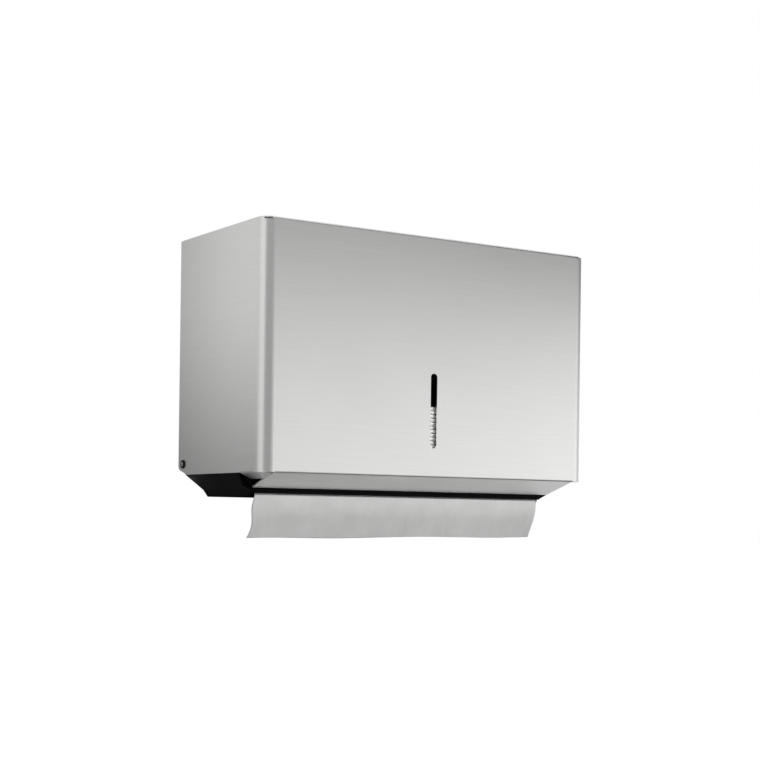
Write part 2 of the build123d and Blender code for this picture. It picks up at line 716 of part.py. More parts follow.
with BuildPart() as cam_screw:
    with BuildSketch(Plane.XY.offset(cam_bottom)):
        with Locations((0, lock_y)):
            Circle(CAM_SCREW_RADIUS)
    extrude(amount=CAM_SCREW_LENGTH)
    with BuildSketch(Plane.XY.offset(cam_bottom)):
        with Locations((0, lock_y)):
            Circle(CAM_SCREW_HEAD_RADIUS)
    extrude(amount=-CAM_SCREW_HEAD_HEIGHT)
    fillet(cam_screw.edges().group_by(Axis.Z)[0], SCREW_HEAD_ROUND)
    with BuildSketch(Plane.XY.offset(cam_bottom - CAM_SCREW_HEAD_HEIGHT)):
        with Locations((0, lock_y)):
            Rectangle(SCREW_SLOT_LENGTH, SCREW_SLOT_WIDTH)
            Rectangle(SCREW_SLOT_WIDTH, SCREW_SLOT_LENGTH)
    extrude(amount=SCREW_SLOT_DEPTH, mode=Mode.SUBTRACT)

# Stack of folded towels: each rounded fold is a bundle of leaves
fold_pitch = STACK_HEIGHT / FOLD_COUNT

with BuildPart() as towel_stack:
    with BuildSketch(Plane.YZ):
        with BuildLine():
            for i in range(FOLD_COUNT):
                low = deck_top + i * fold_pitch
                middle = low + fold_pitch / 2
                high = low + fold_pitch
                ThreePointArc(
                    (stack_front + FOLD_BULGE, low), (stack_front, middle), (stack_front + FOLD_BULGE, high)
                )
                ThreePointArc(
                    (stack_rear - FOLD_BULGE, low), (stack_rear, middle), (stack_rear - FOLD_BULGE, high)
                )
            Line((stack_front + FOLD_BULGE, deck_top), (stack_rear - FOLD_BULGE, deck_top))
            Line(
                (stack_front + FOLD_BULGE, deck_top + STACK_HEIGHT),
                (stack_rear - FOLD_BULGE, deck_top + STACK_HEIGHT),
            )
        make_face()
    extrude(amount=towel_half, both=True)

# Leading towel: a thin leaf that leaves the throat upright and swings back, with a slight ripple
leaf_front = throat_front + LEAF_GAP
leaf_bottom = rim_level - LEAF_HANG

with BuildPart() as leading_towel:
    for i in range(LEAF_SECTIONS):
        share = 2 * i / (LEAF_SECTIONS - 1) - 1
        swing = LEAF_LEAN - LEAF_RIPPLE * sin(pi * LEAF_WAVES * share)
        low = leaf_bottom + LEAF_SKEW * share
        with BuildSketch(Plane.YZ.offset(share * towel_half)):
            with BuildLine():
                fall = Line((leaf_front, deck_top - LEAF_TUCK), (leaf_front, rim_level))
                TangentArc(fall @ 1, (leaf_front + swing, low), tangent=fall % 1)
                offset(amount=LEAF_THICKNESS, side=Side.LEFT)
            make_face()
    loft()

# Hand-over: one file for each piece
pieces = {
    "back_plate": back_plate,
    "lock_strike": lock_strike,
    "strike_rivets": strike_rivets,
    "guide_left": guide_left,
    "guide_right": guide_right,
    "guide_rivets": guide_rivets,
    "hopper_tray": hopper_tray,
    "tray_screws": tray_screws,
    "hinge_pin_left": hinge_pin_left,
    "hinge_pin_right": hinge_pin_right,
    "hinge_washer_left": hinge_washer_left,
    "hinge_washer_right": hinge_washer_right,
    "hinge_nut_left": hinge_nut_left,
    "hinge_nut_right": hinge_nut_right,
    "buffer_left": buffer_left,
    "buffer_right": buffer_right,
    "towel_stack": towel_stack,
    "leading_towel": leading_towel,
    "cover_shell": cover_shell,
    "lock_barrel": lock_barrel,
    "lock_washer": lock_washer,
    "lock_nut": lock_nut,
    "lock_plug": lock_plug,
    "lock_cam": lock_cam,
    "cam_screw": cam_screw,
}
os.makedirs("parts", exist_ok=True)
for name, piece in pieces.items():
    piece.part.label = name
    export_step(piece.part, f"parts/{name}.step")
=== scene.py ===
import math

import bmesh
import bpy
from mathutils import Matrix, Vector, noise


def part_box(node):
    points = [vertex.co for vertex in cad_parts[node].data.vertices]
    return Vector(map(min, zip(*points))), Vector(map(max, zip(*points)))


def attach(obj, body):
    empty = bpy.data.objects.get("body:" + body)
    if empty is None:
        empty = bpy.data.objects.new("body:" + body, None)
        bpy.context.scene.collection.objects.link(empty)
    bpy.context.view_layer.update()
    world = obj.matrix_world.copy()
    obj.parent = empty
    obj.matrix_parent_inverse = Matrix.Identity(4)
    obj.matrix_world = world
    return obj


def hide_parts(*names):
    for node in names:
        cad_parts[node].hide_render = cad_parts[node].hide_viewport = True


bl_info = {
    "name": "Folded towel dispenser",
    "version": (1, 0, 0),
    "blender": (4, 5, 0),
    "location": "View3D > Sidebar > Dispenser",
    "description": "Finishes, paper and studio for a wall dispenser of folded towels",
    "category": "Object",
}

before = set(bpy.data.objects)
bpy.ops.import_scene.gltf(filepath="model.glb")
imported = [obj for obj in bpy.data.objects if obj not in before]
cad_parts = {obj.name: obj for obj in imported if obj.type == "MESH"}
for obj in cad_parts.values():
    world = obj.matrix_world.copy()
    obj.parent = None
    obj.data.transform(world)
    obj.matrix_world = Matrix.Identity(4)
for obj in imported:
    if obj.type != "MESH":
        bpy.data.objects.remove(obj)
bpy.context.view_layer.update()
MM = 0.001
TISSUE = "towel_tissue_embossed"

# Most values of a noise texture lie in this range
NOISE_RANGE = {"From Min": 0.3, "From Max": 0.7}

# Sockets of a Mix node that mixes colours, and of one that mixes numbers
COLOUR_A, COLOUR_B, COLOUR_RESULT = 6, 7, 2
NUMBER_A, NUMBER_B = 2, 3


# Properties that a user would change


class SteelSettings(bpy.types.PropertyGroup):
    """Satin cover"""

    satin: bpy.props.StringProperty(name="Satin steel", description="Colour of the cover", default="#DEDEDD")
    roughness: bpy.props.FloatProperty(
        name="Satin roughness",
        description="How far the brushed cover blurs what it mirrors",
        default=0.29,
        min=0.0,
        max=1.0,
        subtype="FACTOR",
    )
    grain_width: bpy.props.FloatProperty(
        name="Grain width", description="Width of one brush line", default=0.9 * MM, unit="LENGTH"
    )
    grain_length: bpy.props.FloatProperty(
        name="Grain length", description="Length of one brush line", default=45 * MM, unit="LENGTH"
    )


class PaperSettings(bpy.types.PropertyGroup):
    """Stack of folded towels and the leaf that hangs out of the throat"""

    tissue: bpy.props.StringProperty(name="Tissue", description="Colour of the towels", default="#EFEFEE")
    folds: bpy.props.IntProperty(name="Folds", description="Fold edges in the stack", default=18)
    shift: bpy.props.FloatProperty(
        name="Shift", description="How far a fold slides out of line", default=0.3 * MM, unit="LENGTH"
    )
    seed: bpy.props.IntProperty(name="Seed", description="Seed of the folds' shifts", default=7)
    leaf_thickness: bpy.props.FloatProperty(
        name="Leaf thickness", description="Two plies of embossed tissue", default=0.35 * MM, unit="LENGTH"
    )
    leaf_lean: bpy.props.FloatProperty(
        name="Leaf lean",
        description="How far the leaf swings back at its lower edge",
        default=11.9 * MM,
        unit="LENGTH",
    )
    wrinkle: bpy.props.FloatProperty(
        name="Wrinkle", description="Height of the creases in the leaf", default=0.35 * MM, unit="LENGTH"
    )


class StudioSettings(bpy.types.PropertyGroup):
    """Camera and floor"""

    lens: bpy.props.FloatProperty(name="Lens", description="Focal length", default=74.37, unit="CAMERA")
    azimuth: bpy.props.FloatProperty(
        name="Azimuth",
        description="Turn of the camera about the upright axis",
        default=math.radians(-33.057),
        subtype="ANGLE",
    )
    pitch: bpy.props.FloatProperty(
        name="Pitch",
        description="Tilt of the camera above the horizon",
        default=math.radians(0.226),
        subtype="ANGLE",
    )
    roll: bpy.props.FloatProperty(
        name="Roll",
        description="Turn of the camera about its own axis",
        default=math.radians(0.740),
        subtype="ANGLE",
    )
    place: bpy.props.FloatVectorProperty(
        name="Place",
        description="Camera's place",
        default=(-0.6501, -1.05544, -0.12027),
        subtype="TRANSLATION",
    )
    shift: bpy.props.FloatProperty(
        name="Shift", description="How far the picture slides up on the camera's back", default=0.1776
    )
    floor_level: bpy.props.FloatProperty(
        name="Floor level",
        description="Height of the floor, measured from the middle of the wall screws",
        default=-0.62,
        unit="LENGTH",
    )


# Small helpers


def linear(code):
    """Linear RGBA from an sRGB hex code."""
    parts = [int(code[i : i + 2], 16) / 255 for i in (1, 3, 5)]
    return [c / 12.92 if c <= 0.04045 else ((c + 0.055) / 1.055) ** 2.4 for c in parts] + [1.0]


def darker(colour, share):
    """Linear RGBA at a share of its brightness."""
    return [c * share for c in colour[:3]] + [1.0]


def per_metre(size_mm):
    """Texture scale at which one feature is that many millimetres."""
    return 1 / (size_mm * MM)


def set_inputs(tree, node, inputs):
    """Set a node's inputs, or link those whose value is an output of another node."""
    for name, value in inputs.items():
        if isinstance(value, bpy.types.NodeSocket):
            tree.links.new(value, node.inputs[name])
        else:
            node.inputs[name].default_value = value


def add_node(tree, kind, inputs=None, **settings):
    """Add a node with its settings and links."""
    node = tree.nodes.new(kind)
    for name, value in settings.items():
        setattr(node, name, value)
    set_inputs(tree, node, inputs or {})
    return node


def empty_material(name):
    """Node material with nothing in it yet, and its tree."""
    material = bpy.data.materials.new(name)
    material.use_nodes = True
    material.node_tree.nodes.clear()
    return material, material.node_tree


def start_material(name):
    """Node material, its tree, its surface shader, and the place on the piece that its patterns read."""
    material, tree = empty_material(name)
    shader = add_node(tree, "ShaderNodeBsdfPrincipled")
    add_node(tree, "ShaderNodeOutputMaterial", {"Surface": shader.outputs[0]})
    place = add_node(tree, "ShaderNodeTexCoord").outputs["Object"]
    return material, tree, shader, place


def seen_or_mirrored(tree):
    """1 for what the eye sees, also in metal or through glass, and 0 for the light on the object."""
    path = add_node(tree, "ShaderNodeLightPath").outputs
    mirrored = add_node(
        tree, "ShaderNodeMath", {0: path["Is Glossy Ray"], 1: path["Is Transmission Ray"]}, operation="ADD"
    )
    seen = add_node(
        tree,
        "ShaderNodeMath",
        {0: path["Is Camera Ray"], 1: mirrored.outputs[0]},
        operation="ADD",
        use_clamp=True,
    )
    return seen.outputs[0]


# Materials


def satin_stainless(settings, top):
    """Stainless sheet, belt brushed: a soft mirror with fine lines that run round the cover."""
    material, tree, shader, place = start_material("satin_stainless_brushed")
    groove_mm = 0.0003
    groove_share = 0.955
    smear_mm = 60
    # How far smears and brush lines lower and raise the roughness
    smear_low, smear_high = -0.006, 0.011
    line_low, line_high = -0.007, 0.009
    # Real brush lines are about 0.1 mm wide. They are drawn coarser, so that they show.
    fine = 1 / settings.grain_width
    long = 1 / settings.grain_length
    brushed = []
    for stretch in ((long, long, fine), (long, fine, long)):
        stretched = add_node(tree, "ShaderNodeMapping", {"Vector": place, "Scale": stretch})
        lines = add_node(
            tree,
            "ShaderNodeTexNoise",
            {"Vector": stretched.outputs[0], "Scale": 1.0, "Detail": 3.0, "Roughness": 0.6},
        )
        brushed.append(lines.outputs[0])
    # The lines turn between these two heights, just under the top sheet.
    turn_from = top - 2.0 * MM
    turn_to = top - 1.6 * MM
    height = add_node(tree, "ShaderNodeSeparateXYZ", {0: place})
    on_top = add_node(
        tree,
        "ShaderNodeMapRange",
        {"Value": height.outputs["Z"], "From Min": turn_from, "From Max": turn_to},
    )
    lines = add_node(
        tree,
        "ShaderNodeMix",
        {"Factor": on_top.outputs[0], NUMBER_A: brushed[0], NUMBER_B: brushed[1]},
        data_type="FLOAT",
    ).outputs[0]
    # Handling leaves wide, faint smears in the shine.
    handling = add_node(
        tree, "ShaderNodeTexNoise", {"Vector": place, "Scale": per_metre(smear_mm), "Detail": 4.0}
    )
    smears = add_node(
        tree,
        "ShaderNodeMapRange",
        {"Value": handling.outputs[0], **NOISE_RANGE, "To Min": smear_low, "To Max": smear_high},
    )
    scratches = add_node(
        tree,
        "ShaderNodeMapRange",
        {
            "Value": lines,
            **NOISE_RANGE,
            "To Min": settings.roughness + line_low,
            "To Max": settings.roughness + line_high,
        },
    )
    roughness = add_node(
        tree, "ShaderNodeMath", {0: scratches.outputs[0], 1: smears.outputs[0]}, operation="ADD"
    )
    steel = linear(settings.satin)
    crest = add_node(tree, "ShaderNodeMapRange", {"Value": lines, **NOISE_RANGE})
    colour = add_node(
        tree,
        "ShaderNodeMix",
        {"Factor": crest.outputs[0], COLOUR_A: darker(steel, groove_share), COLOUR_B: steel},
        data_type="RGBA",
    )
    relief = add_node(tree, "ShaderNodeBump", {"Height": lines, "Distance": groove_mm * MM})
    set_inputs(
        tree,
        shader,
        {
            "Metallic": 1.0,
            "Base Color": colour.outputs[COLOUR_RESULT],
            "Roughness": roughness.outputs[0],
            "Normal": relief.outputs[0],
        },
    )
    return material


def galvanised_sheet():
    """Hot-dip galvanised sheet: dull zinc with a faint frost of feathered crystals."""
    material, tree, shader, place = start_material("galvanised_sheet")
    crystal_mm = 7
    feather_mm = 4
    ragged = add_node(
        tree,
        "ShaderNodeTexNoise",
        {"Vector": place, "Scale": per_metre(feather_mm), "Detail": 5.0, "Roughness": 0.65},
    )
    feathered = add_node(
        tree,
        "ShaderNodeVectorMath",
        {0: ragged.outputs["Color"], 1: [feather_mm * MM] * 3, 2: place},
        operation="MULTIPLY_ADD",
    )
    crystals = add_node(
        tree, "ShaderNodeTexVoronoi", {"Vector": feathered.outputs[0], "Scale": per_metre(crystal_mm)}
    )
    frost = add_node(tree, "ShaderNodeSeparateColor", {0: crystals.outputs["Color"]})
    colour = add_node(
        tree,
        "ShaderNodeMix",
        {"Factor": frost.outputs[0], COLOUR_A: linear("#ADB0B3"), COLOUR_B: linear("#BBBEC0")},
        data_type="RGBA",
    )
    roughness = add_node(
        tree, "ShaderNodeMapRange", {"Value": frost.outputs[1], "To Min": 0.4, "To Max": 0.5}
    )
    set_inputs(
        tree,
        shader,
        {
            "Metallic": 1.0,
            "Base Color": colour.outputs[COLOUR_RESULT],
            "Roughness": roughness.outputs[0],
        },
    )
    return material


def clouded(tree, place, cloud_mm, colours, roughness):
    """Colour and roughness of a skin that is slightly clouded."""
    clouds = add_node(
        tree, "ShaderNodeTexNoise", {"Vector": place, "Scale": per_metre(cloud_mm), "Detail": 3.0}
    )
    share = add_node(tree, "ShaderNodeMapRange", {"Value": clouds.outputs[0], **NOISE_RANGE})
    colour = add_node(
        tree,
        "ShaderNodeMix",
        {"Factor": share.outputs[0], COLOUR_A: linear(colours[0]), COLOUR_B: linear(colours[1])},
        data_type="RGBA",
    )
    shine = add_node(
        tree,
        "ShaderNodeMapRange",
        {"Value": clouds.outputs[0], **NOISE_RANGE, "To Min": roughness[0], "To Max": roughness[1]},
    )
    return {"Base Color": colour.outputs[COLOUR_RESULT], "Roughness": shine.outputs[0]}


def plated(name, colours, roughness, cloud_mm):
    """Small turned or stamped parts with a plated skin: even colour, slight clouding of the shine."""
    material, tree, shader, place = start_material(name)
    skin = clouded(tree, place, cloud_mm, colours, roughness)
    set_inputs(tree, shader, {"Metallic": 1.0, **skin})
    return material


def pin_with_painted_highlight(axis):
    """Black oxide steel on a turned pin, with a painted highlight: light grey colour in the middle of its
    head.
    """
    material, tree, shader, place = start_material("black_oxide_steel_worn")
    highlight_radius = 1.2 * MM
    black_radius = 1.9 * MM
    cloud_mm = 2
    centred = add_node(
        tree,
        "ShaderNodeMapping",
        {"Vector": place, "Location": (0, -axis.y, -axis.z), "Scale": (0, 1, 1)},
    )
    radius = add_node(tree, "ShaderNodeVectorMath", {0: centred.outputs[0]}, operation="LENGTH")
    bright = add_node(
        tree,
        "ShaderNodeMapRange",
        {
            "Value": radius.outputs["Value"],
            "From Min": highlight_radius,
            "From Max": black_radius,
            "To Min": 1.0,
            "To Max": 0.0,
        },
    )
    # Painted highlight: the middle of the head is coloured light grey, and the ring round it is black oxide.
    colour = add_node(
        tree,
        "ShaderNodeMix",
        {"Factor": bright.outputs[0], COLOUR_A: linear("#1E1E20"), COLOUR_B: linear("#C9C9C6")},
        data_type="RGBA",
    )
    clouds = add_node(
        tree, "ShaderNodeTexNoise", {"Vector": place, "Scale": per_metre(cloud_mm), "Detail": 3.0}
    )
    roughness = add_node(
        tree,
        "ShaderNodeMapRange",
        {"Value": clouds.outputs[0], **NOISE_RANGE, "To Min": 0.3, "To Max": 0.45},
    )
    set_inputs(
        tree,
        shader,
        {
            "Metallic": 1.0,
            "Base Color": colour.outputs[COLOUR_RESULT],
            "Roughness": roughness.outputs[0],
        },
    )
    return material


def moulded(name, colours, roughness, grit_mm, depth_mm, ior, shine=0.5, cloud_mm=25):
    """Moulded plastic or rubber: a fine spark-eroded grain that breaks up its shine."""
    material, tree, shader, place = start_material(name)
    grain = add_node(
        tree, "ShaderNodeTexNoise", {"Vector": place, "Scale": per_metre(grit_mm), "Detail": 2.0}
    )
    relief = add_node(tree, "ShaderNodeBump", {"Height": grain.outputs[0], "Distance": depth_mm * MM})
    skin = clouded(tree, place, cloud_mm, colours, roughness)
    set_inputs(
        tree,
        shader,
        {"IOR": ior, "Specular IOR Level": shine, "Normal": relief.outputs[0], **skin},
    )
    return material


def towel_tissue(settings):
    """Embossed tissue: matt off-white fibre with small pressed dots and faint mottling."""
    material, tree, shader, place = start_material(TISSUE)
    dot_mm = 1.6
    fibre_mm = 1.2
    fibre_stretch = (1, 1, 0.35)
    press_mm = 0.06
    mottle_mm = 14
    mottle_share = 0.93
    dots = add_node(
        tree,
        "ShaderNodeTexVoronoi",
        {"Vector": place, "Scale": per_metre(dot_mm), "Randomness": 0.35},
        feature="SMOOTH_F1",
    )
    upright = add_node(tree, "ShaderNodeMapping", {"Vector": place, "Scale": fibre_stretch})
    fibres = add_node(
        tree,
        "ShaderNodeTexNoise",
        {"Vector": upright.outputs[0], "Scale": per_metre(fibre_mm), "Detail": 5.0, "Roughness": 0.7},
    )
    pressed = add_node(
        tree, "ShaderNodeMath", {0: dots.outputs[0], 1: fibres.outputs[0]}, operation="ADD"
    )
    relief = add_node(tree, "ShaderNodeBump", {"Height": pressed.outputs[0], "Distance": press_mm * MM})
    mottle = add_node(
        tree, "ShaderNodeTexNoise", {"Vector": place, "Scale": per_metre(mottle_mm), "Detail": 3.0}
    )
    share = add_node(tree, "ShaderNodeMapRange", {"Value": mottle.outputs[0], **NOISE_RANGE})
    paper = linear(settings.tissue)
    colour = add_node(
        tree,
        "ShaderNodeMix",
        {"Factor": share.outputs[0], COLOUR_A: darker(paper, mottle_share), COLOUR_B: paper},
        data_type="RGBA",
    )
    set_inputs(
        tree,
        shader,
        {
            "Base Color": colour.outputs[COLOUR_RESULT],
            "Roughness": 0.92,
            "Specular IOR Level": 0.25,
            "Sheen Weight": 0.15,
            "Normal": relief.outputs[0],
        },
    )
    return material


def floor_paint():
    """Plain pale floor that is white to the eye and keeps the shadow."""
    material, tree = empty_material("pale_floor")
    matt = add_node(
        tree, "ShaderNodeBsdfPrincipled", {"Base Color": linear("#C8C8C8"), "Roughness": 0.9}
    )
    glow = add_node(tree, "ShaderNodeEmission", {"Strength": 0.95})
    lifted = add_node(tree, "ShaderNodeAddShader", {0: matt.outputs[0], 1: glow.outputs[0]})
    mixed = add_node(
        tree,
        "ShaderNodeMixShader",
        {0: seen_or_mirrored(tree), 1: matt.outputs[0], 2: lifted.outputs[0]},
    )
    add_node(tree, "ShaderNodeOutputMaterial", {"Surface": mixed.outputs[0]})
    return material


def card_paint(name, greys, rise, fade):
    """Studio card: from one grey to another as it rises, and dimmer or brighter towards the right."""
    material, tree = empty_material(name)
    coordinates = add_node(tree, "ShaderNodeTexCoord")
    place = add_node(tree, "ShaderNodeSeparateXYZ", {0: coordinates.outputs["Object"]})
    grade = add_node(
        tree,
        "ShaderNodeMapRange",
        {
            "Value": place.outputs["Z"],
            "From Min": rise[0],
            "From Max": rise[1],
            "To Min": greys[0],
            "To Max": greys[1],
        },
        interpolation_type="SMOOTHSTEP",
    )
    fade_from, fade_to, right_share = fade
    share = add_node(
        tree,
        "ShaderNodeMapRange",
        {
            "Value": place.outputs["X"],
            "From Min": fade_from,
            "From Max": fade_to,
            "To Min": 1.0,
            "To Max": right_share,
        },
    )
    strength = add_node(
        tree, "ShaderNodeMath", {0: grade.outputs[0], 1: share.outputs[0]}, operation="MULTIPLY"
    )
    glow = add_node(tree, "ShaderNodeEmission", {"Strength": strength.outputs[0]})
    add_node(tree, "ShaderNodeOutputMaterial", {"Surface": glow.outputs[0]})
    return material


# Pieces


def paint(material, *nodes):
    """Give CAD nodes their finish."""
    for name in nodes:
        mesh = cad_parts[name].data
        mesh.materials.clear()
        mesh.materials.append(material)


def add_piece(name, mesh):
    """Object for a finished mesh, at the origin."""
    piece = bpy.data.objects.new(name, mesh)
    bpy.context.scene.collection.objects.link(piece)
    return piece


def stack_tree(material):
    """Node tree that lays rounded folds on each other, each a little out of line."""
    # Thickness of a fold and radius of its nose, as shares of the pitch
    fold_share = 0.9
    nose_share = 0.4
    run_points = 41
    nose_points = 5
    sway_length_mm = 45
    sway = (0.0, 1.6 * MM, 0.5 * MM)

    tree = bpy.data.node_groups.new("folded_stack", "GeometryNodeTree")
    tree.interface.new_socket("Geometry", in_out="OUTPUT", socket_type="NodeSocketGeometry")
    sizes = {}
    for kind, names in (
        ("NodeSocketFloat", ("Width", "Depth", "Height", "Shift")),
        ("NodeSocketInt", ("Folds", "Seed")),
    ):
        for name in names:
            sizes[name] = tree.interface.new_socket(name, in_out="INPUT", socket_type=kind).identifier
    given = add_node(tree, "NodeGroupInput").outputs

    # One fold: a flat bar with a rounded nose
    pitch = add_node(
        tree, "ShaderNodeMath", {0: given["Height"], 1: given["Folds"]}, operation="DIVIDE"
    ).outputs[0]
    thickness = add_node(tree, "ShaderNodeMath", {0: pitch, 1: fold_share}, operation="MULTIPLY")
    radius = add_node(tree, "ShaderNodeMath", {0: pitch, 1: nose_share}, operation="MULTIPLY")
    reach = {}
    for name, direction, length in (
        ("start", (-0.5, 0, 0), given["Width"]),
        ("end", (0.5, 0, 0), given["Width"]),
        ("first", (0, 0, 0.5), pitch),
        ("rise", (0, 0, 1), pitch),
        ("lowest", (-1, -1, 0), given["Shift"]),
        ("highest", (1, 1, 0), given["Shift"]),
    ):
        scaled = add_node(tree, "ShaderNodeVectorMath", {0: direction, "Scale": length}, operation="SCALE")
        reach[name] = scaled.outputs[0]
    run = add_node(tree, "GeometryNodeCurvePrimitiveLine", {"Start": reach["start"], "End": reach["end"]})
    run = add_node(tree, "GeometryNodeResampleCurve", {"Curve": run.outputs[0], "Count": run_points})
    nose = add_node(
        tree,
        "GeometryNodeCurvePrimitiveQuadrilateral",
        {"Width": given["Depth"], "Height": thickness.outputs[0]},
    )
    nose = add_node(
        tree,
        "GeometryNodeFilletCurve",
        {"Curve": nose.outputs[0], "Radius": radius.outputs[0], "Count": nose_points},
        mode="POLY",
    )
    fold = add_node(
        tree,
        "GeometryNodeCurveToMesh",
        {"Curve": run.outputs[0], "Profile Curve": nose.outputs[0], "Fill Caps": True},
    )

    # The pile: each fold shifted by chance, and all of them swayed a little along their length
    pile = add_node(
        tree,
        "GeometryNodeMeshLine",
        {"Count": given["Folds"], "Start Location": reach["first"], "Offset": reach["rise"]},
    )
    laid = add_node(
        tree, "GeometryNodeInstanceOnPoints", {"Points": pile.outputs[0], "Instance": fold.outputs[0]}
    )
    wander = add_node(
        tree,
        "FunctionNodeRandomValue",
        {0: reach["lowest"], 1: reach["highest"], "Seed": given["Seed"]},
        data_type="FLOAT_VECTOR",
    )
    laid = add_node(
        tree,
        "GeometryNodeTranslateInstances",
        {"Instances": laid.outputs[0], "Translation": wander.outputs[0]},
    )
    whole = add_node(tree, "GeometryNodeRealizeInstances", {0: laid.outputs[0]})
    drift = add_node(tree, "ShaderNodeTexNoise", {"Scale": per_metre(sway_length_mm), "Detail": 2.0})
    centred = add_node(
        tree, "ShaderNodeVectorMath", {0: drift.outputs["Color"], 1: (0.5, 0.5, 0.5)}, operation="SUBTRACT"
    )
    swayed = add_node(tree, "ShaderNodeVectorMath", {0: centred.outputs[0], 1: sway}, operation="MULTIPLY")
    moved = add_node(
        tree, "GeometryNodeSetPosition", {"Geometry": whole.outputs[0], "Offset": swayed.outputs[0]}
    )
    smooth = add_node(tree, "GeometryNodeSetShadeSmooth", {0: moved.outputs[0]})
    coated = add_node(tree, "GeometryNodeSetMaterial", {"Geometry": smooth.outputs[0], "Material": material})
    add_node(tree, "NodeGroupOutput", {0: coated.outputs[0]})
    return tree, sizes


class DISPENSER_OT_cover(bpy.types.Operator):
    """Brush the cover"""

    bl_idname = "dispenser.cover"
    bl_label = "Cover"

    def execute(self, context):
        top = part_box("cover_shell")[1].z
        paint(satin_stainless(context.scene.dispenser_steel, top), "cover_shell")
        return {"FINISHED"}


class DISPENSER_OT_wall_frame(bpy.types.Operator):
    """Finish the back plate, the tray and the buffers"""

    bl_idname = "dispenser.wall_frame"
    bl_label = "Wall frame"

    def execute(self, context):
        paint(galvanised_sheet(), "back_plate", "guide_left", "guide_right", "lock_strike")
        black_abs = moulded(
            "moulded_abs_black",
            colours=("#030304", "#060607"),
            roughness=(0.5, 0.62),
            grit_mm=0.5,
            depth_mm=0.015,
            ior=1.53,
            shine=0.05,
        )
        paint(black_abs, "hopper_tray")
        rubber = moulded(
            "moulded_rubber",
            colours=("#101010", "#171717"),
            roughness=(0.7, 0.85),
            grit_mm=0.8,
            depth_mm=0.03,
            ior=1.52,
        )
        paint(rubber, "buffer_left", "buffer_right")
        return {"FINISHED"}


class DISPENSER_OT_fasteners(bpy.types.Operator):
    """Finish the screws, rivets, nuts, washers, pins and the lock"""

    bl_idname = "dispenser.fasteners"
    bl_label = "Fasteners and lock"

    def execute(self, context):
        zinc = plated(
            "zinc_plated_steel", colours=("#A5A6A2", "#C2C3C0"), roughness=(0.28, 0.42), cloud_mm=4
        )
        paint(zinc, "strike_rivets", "guide_rivets", "tray_screws", "hinge_nut_left", "hinge_nut_right")
        paint(zinc, "lock_washer", "lock_nut", "lock_cam", "cam_screw")
        chrome = plated("chrome_plate", colours=("#D2D3D6", "#DEDFE1"), roughness=(0.06, 0.14), cloud_mm=5)
        paint(chrome, "lock_barrel", "lock_plug")
        pin_low, pin_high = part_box("hinge_pin_left")
        paint(pin_with_painted_highlight((pin_low + pin_high) / 2), "hinge_pin_left", "hinge_pin_right")
        nylon = moulded(
            "moulded_nylon",
            colours=("#D6D4CC", "#E2E0D9"),
            roughness=(0.45, 0.6),
            grit_mm=0.6,
            depth_mm=0.01,
            ior=1.53,
        )
        paint(nylon, "hinge_washer_left", "hinge_washer_right")
        return {"FINISHED"}


class DISPENSER_OT_paper(bpy.types.Operator):
    """Make the tissue that the towels are cut from"""

    bl_idname = "dispenser.paper"
    bl_label = "Tissue"

    def execute(self, context):
        towel_tissue(context.scene.dispenser_paper)
        return {"FINISHED"}


class DISPENSER_OT_towel_stack(bpy.types.Operator):
    """Lay the stack of folded towels"""

    bl_idname = "dispenser.towel_stack"
    bl_label = "Towel stack"

    room = 0.2 * MM

    def execute(self, context):
        settings = context.scene.dispenser_paper
        low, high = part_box("towel_stack")
        tree, sizes = stack_tree(bpy.data.materials[TISSUE])
        maker = add_piece("stack_maker", bpy.data.meshes.new("stack_maker"))
        modifier = maker.modifiers.new("folds", "NODES")
        modifier.node_group = tree
        values = {
            "Width": high.x - low.x - 2 * self.room,
            "Depth": high.y - low.y - 2 * (self.room + settings.shift),
            "Height": high.z - low.z - self.room,
            "Shift": settings.shift,
            "Folds": settings.folds,
            "Seed": settings.seed,
        }
        for name, value in values.items():
            modifier[sizes[name]] = value
        graph = context.evaluated_depsgraph_get()
        mesh = bpy.data.meshes.new_from_object(maker.evaluated_get(graph), depsgraph=graph)
        bpy.data.objects.remove(maker)
        middle = (low + high) / 2
        mesh.transform(Matrix.Translation((middle.x, middle.y, low.z + self.room / 2)))
        mesh.name = "folded_towels"
        piece = add_piece("folded_towels", mesh)
        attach(piece, "wall_frame")
        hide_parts("towel_stack")
        return {"FINISHED"}


